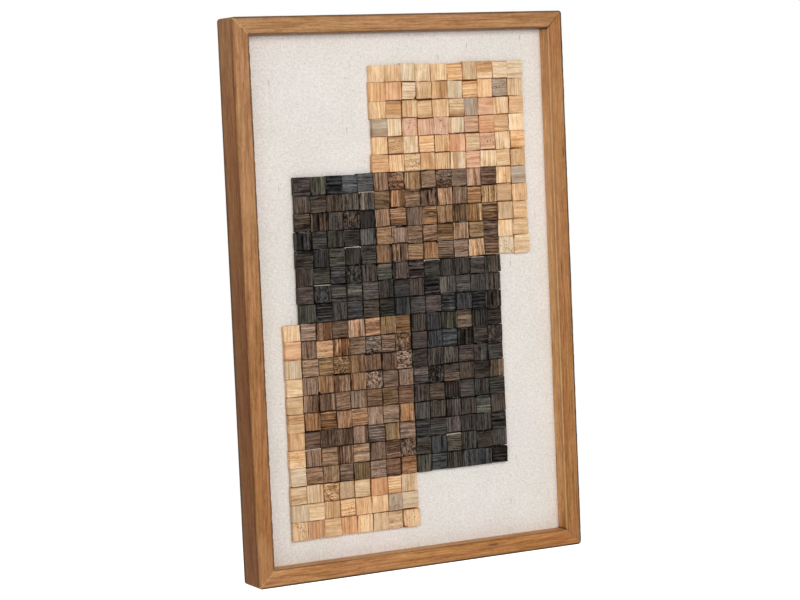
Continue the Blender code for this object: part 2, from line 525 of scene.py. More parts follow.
# ---- the woods ----
KINDS = ("plain", "ridged", "eroded", "wormed", "gnawed", "chipped", "split")

# Each wood's colours, and how often each turns up.
TINTS = {
    "pale": {
        (0.850, 0.590, 0.355): 34,
        (0.805, 0.518, 0.290): 26,
        (0.885, 0.682, 0.465): 19,
        (0.780, 0.445, 0.250): 8,
        (0.795, 0.475, 0.315): 4,
        (0.700, 0.450, 0.262): 4,
        (0.520, 0.415, 0.320): 5,
    },
    "brown": {
        (0.348, 0.214, 0.134): 30,
        (0.420, 0.243, 0.132): 23,
        (0.288, 0.196, 0.142): 22,
        (0.365, 0.236, 0.128): 13,
        (0.230, 0.144, 0.100): 12,
    },
    "black": {
        (0.065, 0.0555, 0.0480): 30,
        (0.060, 0.0550, 0.0505): 22,
        (0.083, 0.0625, 0.0485): 17,
        (0.053, 0.0550, 0.0570): 10,
        (0.071, 0.0550, 0.0505): 10,
        (0.061, 0.0590, 0.0470): 8,
    },
}

# The pale, the brown and the black wood's values. shares: how often blocks have each of the KINDS of shape.
# lower_worms: how many times likelier the lower field's blocks are worm-eaten or gnawed. brightness, warmth:
# how much blocks differ. The rest: how strongly each thing in a wood's figure, dirt and wear shows.
VALUES = {
    "shares": ((65, 14, 0, 4, 1, 7, 9), (30, 38, 10, 5, 7, 6, 6), (28, 40, 14, 3, 7, 6, 5)),
    "lower_worms": (4.2, 1, 1),
    "brightness": (0.09, 0.29, 0.29),
    "warmth": (0.03, 0.05, 0.04),
    "stripes": ((0.05, 1.0), (0.3, 1.0), (0.3, 1.0)),
    "weather": ((0.0, 0.5), (0.2, 1.0), (0.3, 1.0)),
    "ring_width": ((0.0028, 0.0065), (0.0026, 0.0060), (0.0028, 0.0065)),
    "late": (0.86, 0.80, 0.42),
    "late_tint": ((0.64, 0.43, 0.27), (0.36, 0.30, 0.26), (2.0, 1.95, 1.88)),
    "hearts": (0.14, 0.16, 0.12),
    "heart_tint": ((0.76, 0.66, 0.56), (0.55, 0.48, 0.43), (1.9, 1.8, 1.65)),
    "groove": (0.30, 0.55, 0.65),
    "crack": (0.16, 0.80, 0.85),
    "streak": (0.12, 0.36, 0.46),
    "band": (0.09, 0.20, 0.24),
    "fuzz": (0.05, 0.17, 0.22),
    "reach": ((0.75, 1.0, 1.35), (0.9, 1.0, 1.1), (1.0, 1.0, 1.0)),
    "pores": (0.22, 0.6, 0.6),
    "cast_tint": ((1.02, 0.95, 0.84), (1.12, 0.98, 0.86), (1.12, 1.00, 0.90)),
    "dry": (0.0, 0.34, 0.55),
    "dry_tint": ((0.90, 0.74, 0.55), (0.47, 0.33, 0.220), (0.150, 0.128, 0.108)),
    "bare_sides": (0.0, 0.03, 0.06),
    "grime": ((0.240, 0.068, 0.010), (0.016, 0.0060, 0.0030), (0.0045, 0.0030, 0.0020)),
    "wall": (0.8, 0.3, 0.0),
    "wall_tint": ((0.620, 0.240, 0.070), (0.060, 0.018, 0.006), (0.0045, 0.0030, 0.0020)),
    "joint": ((0.918, 0.970), (0.905, 0.958), (0.893, 0.953)),
    "joint_dirt": (0.90, 1.0, 1.0),
    "joint_least": (0.12, 0.30, 0.40),
    "rub": (0.25, 0.30, 0.55),
    "rub_tint": ((0.90, 0.72, 0.50), (0.50, 0.34, 0.21), (0.165, 0.140, 0.115)),
    "roughness": (0.62, 0.68, 0.70),
    "specular": (0.08, 0.03, 0.03),
}
WOODS = {
    name: {key: values[number] for key, values in VALUES.items()} | {"tints": TINTS[name]}
    for number, name in enumerate(TINTS)
}
BLOCK_RING = [(0.0, 0.0), (0.40, 0.04), (0.60, 0.45), (0.72, 1.0), (0.95, 1.0), (1.0, 0.0)]
RAW_WOOD = (0.620, 0.545, 0.450)


def wood_material(name, wood):
    """Sawn wood that reads its grain, tone and figure from the block that it is on.

    grain_place: metres along the grain, and across it from the pith. face_place: -1 to 1 across the block
    each way. figure: rings per metre, how strong the stripes are, how weathered the face is. flaws: how
    worm-eaten, gnawed and blotched it is. habit: how far its rings wander, where across it the heartwood
    starts, and a number of the block's own. sides: 1 along the sides that no neighbour covers, and 1 along
    a side of raw wood.
    """
    recipe = Recipe(name)
    spread, sway, noise, coat, product, total, largest, less = recipe.steps()
    place = recipe.attribute("grain_place")
    face = recipe.attribute("face_place")
    x, y, z = recipe.parts(face)
    rings, stripes, weather = recipe.marks("figure")
    worms, gnawed, blotches = recipe.marks("flaws")
    wander, heart_line, own = recipe.marks("habit")
    open_side, bare_side, _ = recipe.marks("sides")
    tone = recipe.node("ShaderNodeAttribute", {}, attribute_name="tone").outputs["Color"]

    fibre = noise(place, (70, 1500), 3.0, 0.6)
    streak = noise(place, (22, 660), 2.5, 0.55)
    band = noise(place, (12, 200))
    blotch = noise(place, (38, 60), 3.0, 0.6)
    fuzz = noise(place, (170, 380), 2.0, 0.55)

    # Rings, and heartwood down one side of some blocks.
    swerve = product(less(noise(place, (26, 110)), 0.5), wander)
    late, each = recipe.growth_rings(place, rings, swerve, BLOCK_RING, own)
    late = product(late, spread(each, 0.0, 1.0, 0.25, 1.1))
    recipe.colour = tone
    recipe.tint(wood["late_tint"], late, stripes, wood["late"])
    heart = less(total(z, product(band, 0.5)), heart_line)
    recipe.tint(wood["heart_tint"], spread(heart, 0.0, 0.12))

    # Streaks along the grain, and blotches.
    shade = total(
        sway(streak, 0.12, wood["streak"]),
        sway(fibre, 0.25, 0.18),
        sway(band, 0.16, wood["band"]),
        sway(fuzz, 0.14, wood["fuzz"]),
        product(spread(blotch, 0.3, 0.7, -0.22, 0.16), blotches),
    )
    recipe.shade(shade, wood["reach"])

    cast = noise(recipe.shifted(place, own), (14, 150))
    recipe.tint(wood["cast_tint"], spread(cast, 0.46, 0.62), 0.8)

    # Dry fibres that stand up light, drying cracks, pores, and the dirt that lies in worn-back wood.
    dry = spread(noise(place, (32, 800)), 0.58, 0.66)
    coat(wood["dry_tint"], dry, weather, wood["dry"])
    crack = product(spread(noise(place, (24, 720)), 0.59, 0.64), weather, wood["crack"])
    pore = product(spread(noise(place, (90, 1100), 1.0), 0.62, 0.70), wood["pores"])
    edge = largest(recipe.maths("ABSOLUTE", x), recipe.maths("ABSOLUTE", z))
    wall = spread(edge, 0.985, 0.998)
    inside = less(1.0, wall)
    sunk = product(spread(y, -0.94, -0.82, 0.0, wood["groove"]), inside)
    bored = product(spread(y, -0.76, -0.60), inside)
    for dirt in (crack, pore, sunk, bored):
        coat(wood["grime"], dirt)

    # Worm holes like pins, in loose lines along the grain, and winding galleries between pale crests.
    cells = recipe.cells(place, (300, 370))
    crowd = spread(noise(place, (30, 130), 1.0), 0.46, 0.54)
    pick_size, pick_pin, _ = recipe.parts(cells["Color"])
    size = spread(pick_size, 0.0, 1.0, 0.15, 0.34)
    pin = spread(less(cells["Distance"], size), 0.0, -0.06)
    pin = product(pin, crowd, recipe.maths("GREATER_THAN", total(pick_pin, worms), 1.0))
    winding = recipe.maths("ABSOLUTE", less(noise(place, (110, 210), 2.0, 0.5, 0.8), 0.5))
    gallery = product(spread(winding, 0.050, 0.020), spread(blotch, 0.30, 0.50, 0.5, 1.0))
    coat(wood["dry_tint"], spread(winding, 0.10, 0.16), gnawed, wood["dry"])
    hole = largest(pin, product(gallery, gnawed))
    coat(wood["grime"], hole)

    # Arrises rubbed lighter here and there, and grime that has gathered in the joints.
    grip = noise(recipe.shifted(face, own), (0.9,), 1.0)
    edge = total(edge, product(less(streak, 0.5), 0.05))
    coat(wood["rub_tint"], spread(edge, 0.86, 0.93), spread(grip, 0.56, 0.66, 0.0, wood["rub"]))
    held = spread(grip, 0.38, 0.60, 1.0, wood["joint_least"])
    closed_side = less(1.0, open_side)
    coat(wood["wall_tint"], wall, closed_side, wood["wall"])
    joint = product(spread(edge, *wood["joint"]), held, spread(y, -1.0, -0.6, 1.0, 0.7))
    coat(wood["grime"], joint, wood["joint_dirt"], closed_side)
    coat(RAW_WOOD, spread(bare_side, 0.90, 0.95), spread(edge, 0.930, 0.950))

    height = recipe.maths("MULTIPLY_ADD", product(late, weather), 0.8, product(fibre, 0.35))
    height = less(height, product(total(hole, product(crack, 0.6)), 1.6))
    roughness = spread(streak, 0.2, 0.8, wood["roughness"] - 0.06, wood["roughness"] + 0.08)
    return recipe.finish(roughness, height, 0.00025, wood["specular"])


# ---- laying the blocks ----
FACING_FRONT = -0.99


def front_faces(mesh):
    """The corner points of each front in a strip: level faces that share a corner are one front."""
    fronts = []
    for face in mesh.polygons:
        if face.normal.y > FACING_FRONT:
            continue
        corners = {tuple(round(c, 6) for c in mesh.vertices[i].co) for i in face.vertices}
        for front in [front for front in fronts if front & corners]:
            fronts.remove(front)
            corners |= front
        fronts.append(corners)
    return fronts


def share_out(low, high):
    """The boxes of the blocks in a span: fronts that came out level with their neighbour's count as one."""
    columns = round((high.x - low.x) / COLUMN_PITCH)
    rows = round((high.z - low.z) / ROW_PITCH)
    step = Vector(((high.x - low.x) / columns, 0, (high.z - low.z) / rows))
    boxes = []
    for column in range(columns):
        for row in range(rows):
            start = low + Vector((step.x * column, 0, step.z * row))
            boxes.append((start, Vector((start.x + step.x, high.y, start.z + step.z))))
    return boxes


def boxes_in(node):
    """The corners of a strip's blocks."""
    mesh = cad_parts[node].data
    back = points_of(mesh)[:, 1].max()
    boxes = []
    for front in front_faces(mesh):
        low = [min(values) for values in zip(*front)]
        high = [max(values) for values in zip(*front)]
        boxes += share_out(Vector(low), Vector((high[0], back, high[2])))
    return sorted(boxes, key=lambda box: (round(box[0].x, 3), -round(box[0].z, 3)))


def grid_place(low, high):
    """The column and the row of the grid that a block is in, counted from the left and from the top."""
    centre = (low + high) / 2
    return round((centre.x - GRID_LEFT) / COLUMN_PITCH + 0.5), round((GRID_TOP - centre.z) / ROW_PITCH + 0.5)


# The lower fields' blocks are a little darker. No block's tone strays further than TONE_ENDS,
# in standard deviations.
LOWER_LEVEL = 0.94
TONE_ENDS = (-2.0, 1.7)


def draw_tone(wood, chance, lower):
    """A block's own colour: one of its wood's tints, a little lighter or darker, redder or greyer."""
    tints = wood["tints"]
    tint = chance.choices(list(tints), list(tints.values()))[0]
    level = math.exp(wood["brightness"] * max(TONE_ENDS[0], min(TONE_ENDS[1], chance.gauss(0, 1))))
    if lower:
        level *= LOWER_LEVEL
    warmth = 1 + chance.gauss(0, wood["warmth"])
    return Vector((tint[0] * level * warmth, tint[1] * level, tint[2] * level / warmth))


NO_HEART = 9.0
STRAY_WORMS = (-7, 0.8)
PITH_DISTANCE = (0.02, 0.09)
RIDGED_PITH_DISTANCE = (0.06, 0.12)
GRAIN_SLOPE = 0.05


def draw_block(wood, shapes, chance, lower):
    """Picks a block's shape and says how its grain runs, as (block, what to mark on it)."""
    shares = dict(zip(KINDS, wood["shares"]))
    if lower:
        shares["wormed"] *= wood["lower_worms"]
        shares["gnawed"] *= wood["lower_worms"]
    kind = chance.choices(list(shares), list(shares.values()))[0]
    shape, spacing = chance.choice(shapes[kind])
    if spacing is None:
        spacing = chance.uniform(*wood["ring_width"])
        turn = chance.uniform(0, math.pi)
        distance = chance.uniform(*PITH_DISTANCE)
        slope = chance.gauss(0, GRAIN_SLOPE)
    else:
        turn = 0.0
        distance = spacing * round(chance.uniform(*RIDGED_PITH_DISTANCE) / spacing)
        slope = 0.0
    worms = 1.0 if kind == "wormed" else max(0.0, chance.uniform(*STRAY_WORMS))
    gnawed = chance.uniform(0.6, 1.0) if kind == "gnawed" else 0.0
    heart_line = chance.uniform(-0.5, 0.9) if chance.random() < wood["hearts"] else NO_HEART
    wander = chance.uniform(0.3, 1.3) if turn else 0.3
    facts = {
        "pith": Vector((chance.uniform(0, 3), distance * math.sin(turn), distance * math.cos(turn))),
        "slope": slope,
        "tone": draw_tone(wood, chance, lower),
        "figure": (1 / spacing, chance.uniform(*wood["stripes"]), chance.uniform(*wood["weather"])),
        "flaws": (worms, gnawed, chance.uniform(0.2, 1.0)),
        "habit": (wander, heart_line, chance.random()),
        "bare": chance.random() < wood["bare_sides"],
    }
    return shape, facts


def mark_block(mesh, facts):
    """Writes on a block's points what its wood material reads."""
    places = points_of(mesh)
    count = len(places)
    grain = np.empty((count, 3))
    grain[:, 0] = places[:, 0] + facts["pith"].x
    grain[:, 1] = places[:, 2] + facts["pith"].z + places[:, 0] * facts["slope"]
    grain[:, 2] = places[:, 1] + facts["pith"].y
    mark(mesh, "grain_place", grain)
    mark(mesh, "face_place", places / (HALF_SIDE, BLOCK_DEPTH / 2, HALF_SIDE))
    for name in ("tone", "figure", "flaws", "habit"):
        mark(mesh, name, np.tile(facts[name], (count, 1)))


def mark_sides(mesh, turn, open_ways, bare):
    """Marks the points along the sides that face bare paper, and along an upper side that shows raw wood."""
    places = points_of(mesh) / HALF_SIDE
    marks = np.zeros((len(places), 3))
    for column, ways in ((0, open_ways), (1, [WAYS[0, -1]] if bare else [])):
        for way in ways:
            own_way = turn.to_3x3().transposed() @ way
            marks[places @ np.array(own_way) > SIDE_FROM, column] = 1.0
    mark(mesh, "sides", marks)


def loosely(play, chance):
    """How far a side stays back from its place: mostly near the least of the play, seldom near the most."""
    return play[0] + (play[1] - play[0]) * chance.random() ** LOOSENESS


def lay_block(shape, facts, low, high, upright, plays, open_ways, chance):
    """Copies a shape into a block's place, its grain level or upright, set a little out of true."""
    block = shape.copy()
    block.data = shape.data.copy()
    bpy.context.collection.objects.link(block)
    mark_block(block.data, facts)
    low = low + Vector((loosely(plays[0], chance), 0, loosely(plays[1], chance)))
    high = high - Vector((loosely(plays[0], chance), 0, loosely(plays[1], chance)))
    size = high - low
    quarters = chance.choice((1, 3)) if upright else chance.choice((0, 2))
    turn = Matrix.Rotation(quarters * math.pi / 2, 4, "Y")
    stretch = Matrix.Diagonal((size.x / BLOCK_SIDE, size.y / BLOCK_DEPTH, size.z / BLOCK_SIDE, 1))
    twist = Matrix.Rotation(chance.uniform(-1, 1) * BLOCK_TWIST, 4, "Y")
    tilt = Matrix.Rotation(chance.uniform(-1, 1) * BLOCK_TILT, 4, chance.choice("XZ"))
    shear = Matrix.Identity(4)
    shear[0][2] = chance.uniform(-1, 1) * BLOCK_SHEAR
    shear[2][0] = chance.uniform(-1, 1) * BLOCK_SHEAR
    block.matrix_world = Matrix.Translation((low + high) / 2) @ twist @ tilt @ shear @ stretch @ turn
    mark_sides(block.data, turn, open_ways, facts["bare"])
    return block


# The neighbours of a place in the grid, and the way each lies.
WAYS = {
    (-1, 0): Vector((-1, 0, 0)),
    (1, 0): Vector((1, 0, 0)),
    (0, -1): Vector((0, 0, 1)),
    (0, 1): Vector((0, 0, -1)),
}
SIDE_FROM = 0.88


def make_strip(node, laid, shapes, materials):
    """All the blocks of one strip, laid side by side and kept as one piece."""
    kind = next(name for name in WOODS if name in node)
    chance = random.Random(f"glued {node}")
    blocks = []
    strip_low, strip_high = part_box(node)
    plays = (TOUCHING_PLAY, NEIGHBOUR_PLAY)
    if strip_high.z - strip_low.z > strip_high.x - strip_low.x:
        plays = (NEIGHBOUR_PLAY, TOUCHING_PLAY)
    for low, high in boxes_in(node):
        column, row = grid_place(low, high)
        open_ways = [way for (x, z), way in WAYS.items() if (column + x, row + z) not in laid]
        upright = (column + row) % 2 == 0
        if chance.random() < GRAIN_SLIPS:
            upright = not upright
        shape, facts = draw_block(WOODS[kind], shapes, chance, "lower" in node)
        blocks.append(lay_block(shape, facts, low, high, upright, plays, open_ways, chance))
    take(*blocks)
    bpy.ops.object.join()
    strip = bpy.context.object
    bpy.ops.object.transform_apply(location=True, rotation=True, scale=True)
    strip.name = node + "_blocks"
    strip.data.name = strip.name
    strip.data.materials.clear()
    strip.data.materials.append(materials[kind])
    smooth(strip, 28)
    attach(strip, "root")
    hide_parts(node)


def make_strips():
    """Every strip of blocks, and then the stock of shapes is cleared away."""
    shapes = make_shapes()
    materials = {name: wood_material(f"{name}_wood", wood) for name, wood in WOODS.items()}
    names = [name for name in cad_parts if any(wood in name for wood in WOODS)]
    laid = {grid_place(*box) for name in names for box in boxes_in(name)}
    for name in sorted(names):
        make_strip(name, laid, shapes, materials)
    for group in shapes.values():
        for shape, _ in group:
            bpy.data.objects.remove(shape)


# ---- frame rails ----
# For each rail: the way it runs, the way in from its outer edge, its wear and light, its mitres, and its
# stain and sheen. Wear and light: how dark its outer arris is made, how dark its inner one, and how much
# painted light from the paper brightens its inner side, or below zero how much painted shade darkens it.
# Mitres: how open each is, from a joint that is tight and rubbed pale at 0. Stain and sheen: how rich its
# stain is at the two ends, and how much painted sheen lightens its face, or below zero how much painted
# shade darkens it.
RAILS = {
    "top_rail": (Vector((1, 0, 0)), Vector((0, 0, -1)), (0.75, 0.85, -0.5), (0.0, 1.0), (-0.2, 0.0, 0.0)),
    "right_rail": (Vector((0, 0, 1)), Vector((-1, 0, 0)), (1.0, 0.20, 0.75), (0.35, 1.0), (1.1, 1.0, 0.2)),
    "bottom_rail": (Vector((1, 0, 0)), Vector((0, 0, 1)), (1.0, 0.75, 0.5), (0.12, 0.35), (0.35, 1.6, 1.0)),
    "left_rail": (Vector((0, 0, 1)), Vector((1, 0, 0)), (0.15, 1.0, 0.5), (0.12, 0.0), (1.4, 0.0, -0.25)),
}
LIP_BACK = PAPER_LOW.y - JOINT_GAP
EASED_EDGE = 0.0014
MITRE_PLAY = 0.00012
MITRE_EDGE = 0.0003
UNWORN_END = 0.0008
WAVE_DEPTH = 0.0003
DENT_DEPTH = 0.0007
RAIL_CUTS = ((74, 0.1), (2, 0.002))
STAIN_CASTS = ((0.468, 0.235, 0.087), (0.466, 0.218, 0.090))
RAIL_RINGS = 300.0
RAIL_RING = [(0.0, 0.10), (0.35, 0.0), (0.66, 0.35), (0.86, 1.0), (0.96, 0.9), (1.0, 0.10)]


class Rail:
    """Where a rail's parts lie: along it from its middle, in from its outer edge, and back from its front."""

    def __init__(self, node):
        self.along, self.inward, self.wear, self.mitres, self.stain_and_sheen = RAILS[node]
        self.half = WIDTH / 2 if self.along.x else HEIGHT / 2
        reach = HEIGHT / 2 if self.along.x else WIDTH / 2
        self.origin = FACE_CENTRE - self.inward * reach

    def point(self, along, inward, depth):
        return self.origin + self.along * along + self.inward * inward + Vector((0, depth, 0))

    def place(self, point):
        """(along, inward, depth) of a point."""
        offset = point - self.origin
        return offset.dot(self.along), offset.dot(self.inward), offset.y

    def from_mitre(self, point):
        """How far a point lies from the nearer mitre, measured along the rail."""
        along, inward, _ = self.place(point)
        return self.half - abs(along) - inward


def start_rail(name, rail):
    """A square length of wood with a rebate worked along its back."""
    ends = [rail.point(-rail.half, 0, 0), rail.point(rail.half, RAIL_FACE, LIP_BACK - FRONT)]
    low = [min(a, b) for a, b in zip(*ends)]
    high = [max(a, b) for a, b in zip(*ends)]
    piece = start_box(name, low, high)
    mode("EDIT")
    cut_across(rail.point(0, RAIL_BACK, 0), rail.inward)

    def behind_the_rebate(corners):
        return all(near(c.y, LIP_BACK) and rail.place(c)[1] < RAIL_BACK + SAME_PLACE for c in corners)

    pick(piece, "FACE", behind_the_rebate)
    bpy.ops.mesh.extrude_region_move(TRANSFORM_OT_translate={"value": (0, -LIP_BACK, 0)})
    return piece


def cut_rail_ends(rail):
    """Mitres both ends, and rounds the outer corner with a few flat cuts."""
    for end in (-1, 1):
        mitre = (rail.along * end + rail.inward).normalized()
        cut_across(rail.point(end * rail.half, 0, 0) - mitre * MITRE_PLAY, mitre, clear=True)
        centre = rail.point(end * (rail.half - CORNER_RADIUS), CORNER_RADIUS, 0)
        for facet in range(CORNER_FACETS):
            angle = math.radians(45) * (facet + 0.5) / CORNER_FACETS
            outward = rail.along * end * math.sin(angle) - rail.inward * math.cos(angle)
            cut_across(centre + outward * CORNER_RADIUS, outward, clear=True)


def ease_rail(piece, rail):
    """Rounds the arrises of the face and of the outer back edge, round the corner too, but not the mitres."""

    def is_arris(ends):
        in_mitre = all(rail.from_mitre(e) < MITRE_EDGE for e in ends)
        inward = [rail.place(e)[1] for e in ends]
        at_rebate = all(near(d, RAIL_BACK) for d in inward)
        level = all(near(e.y, FRONT) for e in ends) or all(near(e.y, 0.0) for e in ends)
        return level and not in_mitre and not at_rebate

    pick(piece, "EDGE", is_arris)
    bpy.ops.mesh.bevel(offset=EASED_EDGE, segments=3, affect="EDGES", clamp_overlap=False)


def divide_rail(piece, rail):
    """Divides a rail along its length, first its long edges and then all, so that its dents can show."""
    for cuts, shortest in RAIL_CUTS:

        def runs_along(ends):
            span = ends[1] - ends[0]
            return span.length > shortest and abs(span.normalized().dot(rail.along)) > 0.9999

        pick(piece, "EDGE", runs_along)
        bpy.ops.mesh.subdivide(number_cuts=cuts)
    mode("OBJECT")


def wear_rail(piece, rail):
    """Hand-planed faces, never quite flat, and small dents along the arrises."""
    body, arris = [], []
    for vertex in piece.data.vertices:
        _, inward, depth = rail.place(vertex.co)
        if rail.from_mitre(vertex.co) < UNWORN_END:
            continue
        body.append(vertex.index)
        if min(max(inward, depth), max(RAIL_FACE - inward, depth)) < EASED_EDGE * 0.9:
            arris.append(vertex.index)
    press_in(piece, body, WAVE_DEPTH, noise_scale=0.05)
    press_in(piece, arris, DENT_DEPTH, noise_scale=0.009, contrast=4.0, intensity=1.35)


def mark_rail(piece, rail, chance):
    """Writes on a rail's points where they lie, for its material."""
    places = np.array([rail.place(v.co) for v in piece.data.vertices])
    ends = rail.half - np.abs(places[:, 0]) - places[:, 1]
    pith = (chance.uniform(1, 9), chance.uniform(-0.060, 0.010), chance.uniform(0.012, 0.050))
    grain = places + pith
    grain[:, 1] += places[:, 0] * chance.uniform(-0.03, 0.03)
    mark(piece.data, "grain_place", grain)
    mark(piece.data, "rail_place", np.column_stack((ends, places[:, 1], places[:, 2])))
    mark(piece.data, "wear", np.tile(rail.wear, (len(places), 1)))
    first, last, painted_sheen = rail.stain_and_sheen
    rich = first + (last - first) * (places[:, 0] / rail.half + 1) / 2
    openness = np.where(places[:, 0] < 0, *rail.mitres)
    mark(piece.data, "stain_and_sheen", np.column_stack((rich, np.full(len(places), painted_sheen), openness)))


def stained_wood():
    """Softwood stained a honey brown, with darkened arrises, painted light and shade on its inner sides,
    painted sheen on its face, and painted shade down its outer sides.
    """
    recipe = Recipe("honey_stained_wood")
    spread, sway, noise, coat, product, total, largest, less = recipe.steps()
    place = recipe.attribute("grain_place")
    end, inward, depth = recipe.marks("rail_place")
    outer_darkening, inner_darkening, reveal_light_and_shade = recipe.marks("wear")
    rich, painted_sheen, openness = recipe.marks("stain_and_sheen")

    # Knots, and rings that swerve round them.
    knot_distance = recipe.cells(place, (4.2, 30))["Distance"]
    swerve = spread(knot_distance, 0.05, 0.42, 1.4, 0.0)
    knot = spread(knot_distance, 0.055, 0.030)
    halo = spread(knot_distance, 0.17, 0.05)
    drift = total(product(noise(place, (9, 42), 3.0), 3.4), swerve)
    late, each = recipe.growth_rings(place, RAIL_RINGS, drift, RAIL_RING)
    late = product(late, spread(each, 0.0, 1.0, 0.15, 1.0))

    fibre = noise(place, (34, 1300), 3.0, 0.6)
    streak = noise(place, (11, 440), 4.0, 0.7)
    band = noise(place, (8, 120), 4.0, 0.6)
    cast = noise(place, (7, 70))
    blotch = noise(place, (26, 60), 3.0, 0.6)
    mottle = noise(place, (150, 330), 3.0, 0.6)
    bleach = noise(place, (2.6, 16))
    pore = spread(noise(place, (70, 1700), 1.0), 0.64, 0.72)
    pale_fleck = spread(noise(place, (32, 400)), 0.58, 0.66)
    dark_fleck = spread(noise(place, (24, 360)), 0.42, 0.34)

    # Golden and redder wood in turn, then the late wood, streaks and knots.
    recipe.colour = recipe.mix(spread(cast, 0.38, 0.62), *STAIN_CASTS)
    coat((0.235, 0.090, 0.026), late, 0.48)
    recipe.shade(rich, (-0.09, -0.175, -0.31))
    shade = total(
        spread(streak, 0.36, 0.64, -0.21, 0.19),
        sway(mottle, 0.18, 0.09),
        sway(fibre, 0.25, 0.13),
        sway(band, 0.15, 0.12),
        sway(blotch, 0.20, 0.10),
        product(pale_fleck, 0.22),
        product(dark_fleck, -0.26),
    )
    recipe.shade(shade, (0.72, 1.0, 1.42))
    coat((0.620, 0.345, 0.165), spread(bleach, 0.48, 0.66, 0.0, 0.20))
    coat((0.24, 0.09, 0.028), halo, 0.30)
    coat((0.070, 0.026, 0.012), knot, 0.65)
    coat((0.10, 0.045, 0.02), pore, 0.45)

    # Painted shade: the outer sides are darker and browner than the face, and darker still towards the back
    # edge. Painted light thrown from the paper brightens the inner sides, and painted shade darkens the top
    # rail's underside.
    patches = spread(blotch, 0.35, 0.65)
    side = spread(inward, 0.0013, 0.0004)
    # Painted shade down the outer sides, lighter where the stain is least rich.
    recipe.shade(product(side, spread(cast, 0.40, 0.60, -0.05, -0.11)), (0.6, 1.0, 0.6))
    recipe.shade(product(side, spread(rich, 0.0, 0.8, 0.30, -0.10)))
    recipe.shade(product(side, spread(rich, 0.0, 0.4)), (0.0, -0.09, -0.16))
    coat((0.070, 0.032, 0.014), side, spread(depth, DEPTH - 0.010, DEPTH - 0.003, 0.0, 0.60))
    from_lip = less(RAIL_FACE, inward)
    reveal = spread(from_lip, 0.0013, 0.0004)
    # Painted light thrown from the paper brightens the inner sides, and painted shade darkens the top rail's
    # underside.
    recipe.shade(product(reveal, largest(reveal_light_and_shade, 0.0)), (0.78, 1.10, 1.42))
    coat((0.120, 0.048, 0.018), reveal, largest(product(reveal_light_and_shade, -1.0), 0.0))

    # The arrises are darkened, and some inner ones are lighter at the very edge.
    on_face = product(spread(inward, 0.0043, 0.0019), spread(depth, 0.0024, 0.0010), outer_darkening)
    on_side = product(spread(depth, 0.0120, 0.0020), side, 0.42)
    coat((0.040, 0.020, 0.010), largest(on_face, on_side), total(product(patches, 0.25), 0.75))
    inner = largest(from_lip, depth)
    line = spread(inner, recipe.maths("MULTIPLY_ADD", painted_sheen, -0.0012, 0.0034), 0.0014)
    coat((0.085, 0.038, 0.016), line, inner_darkening, total(product(patches, 0.25), 0.70))
    clean = spread(inner_darkening, 0.5, 0.2)
    coat((0.62, 0.36, 0.17), spread(inner, 0.0024, 0.0010), total(product(patches, 0.5), 0.5), clean)
    coat((0.230, 0.090, 0.026), spread(inner, 0.0022, 0.0032), spread(inner, 0.0070, 0.0050), clean, 0.32)
    # Painted sheen lightens the face near its inner edge; below zero it is painted shade that darkens it.
    recipe.shade(product(painted_sheen, less(1.0, reveal), spread(from_lip, 0.004, 0.013, 0.24, 0.12)))

    # The mitres: where they are tight, a ragged pale seam, and where open, a dark gap that widens inward.
    # Painted shadow lies in the inner corner under the top rail's open mitre.
    tight = spread(openness, 0.5, 0.0)
    ragged = recipe.maths("MULTIPLY_ADD", noise(place, (160, 420)), 0.0090, -0.0045)
    coat((0.640, 0.370, 0.165), spread(total(end, ragged), 0.0020, 0.0010), tight, 0.75)
    gap = product(spread(inward, 0.0, RAIL_FACE, 0.25, 1.0), spread(band, 0.38, 0.56, 0.6, 1.0), openness)
    gap = largest(gap, product(reveal, 0.8))
    gap_width = total(product(inward, 0.045), product(reveal, 0.0016), 0.0008)
    coat((0.050, 0.021, 0.010), spread(end, gap_width, 0.0002), gap)
    # Painted shadow in the inner corner, below the top rail.
    wedge = recipe.maths("MULTIPLY_ADD", end, 0.32, from_lip)
    corner_shadow = product(spread(wedge, 0.0046, 0.0016), spread(openness, 0.7, 1.0))
    coat((0.045, 0.018, 0.008), corner_shadow, spread(reveal_light_and_shade, -0.05, -0.15))

    height = recipe.maths("MULTIPLY_ADD", late, 0.4, product(fibre, 0.6))
    roughness = spread(streak, 0.2, 0.8, 0.46, 0.62)
    return recipe.finish(roughness, height, 0.00012, specular=0.25)


def make_rail(node, material):
    rail = Rail(node)
    piece = start_rail(node + "_wood", rail)
    cut_rail_ends(rail)
    ease_rail(piece, rail)
    divide_rail(piece, rail)
    wear_rail(piece, rail)
    mark_rail(piece, rail, random.Random(f"sawn {node}"))
    piece.data.materials.append(material)
    smooth(piece, 40)
    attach(piece, "root")
    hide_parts(node)


def make_rails():
    material = stained_wood()
    for node in RAILS:
        make_rail(node, material)


# ---- paper and board ----
# The glue on the paper, each colour with the rectangles of blocks that it lies behind, given as
# (first and last column), (first and last row).
GLUES = {
    (0.260, 0.090, 0.028): (((7, 16), (1, 11)), ((1, 8), (15, 26))),
    (0.050, 0.024, 0.012): (((2, 14), (7, 23)),),
}
PAPER_CASTS = ((0.863, 0.822, 0.762), (0.876, 0.818, 0.774))
# How far down the paper the painted shadow below the top rail reaches.
TOP_SHADOW_REACH = 0.0032
PAPER_CUTS = 90
PULP_DEPTH = 0.00025


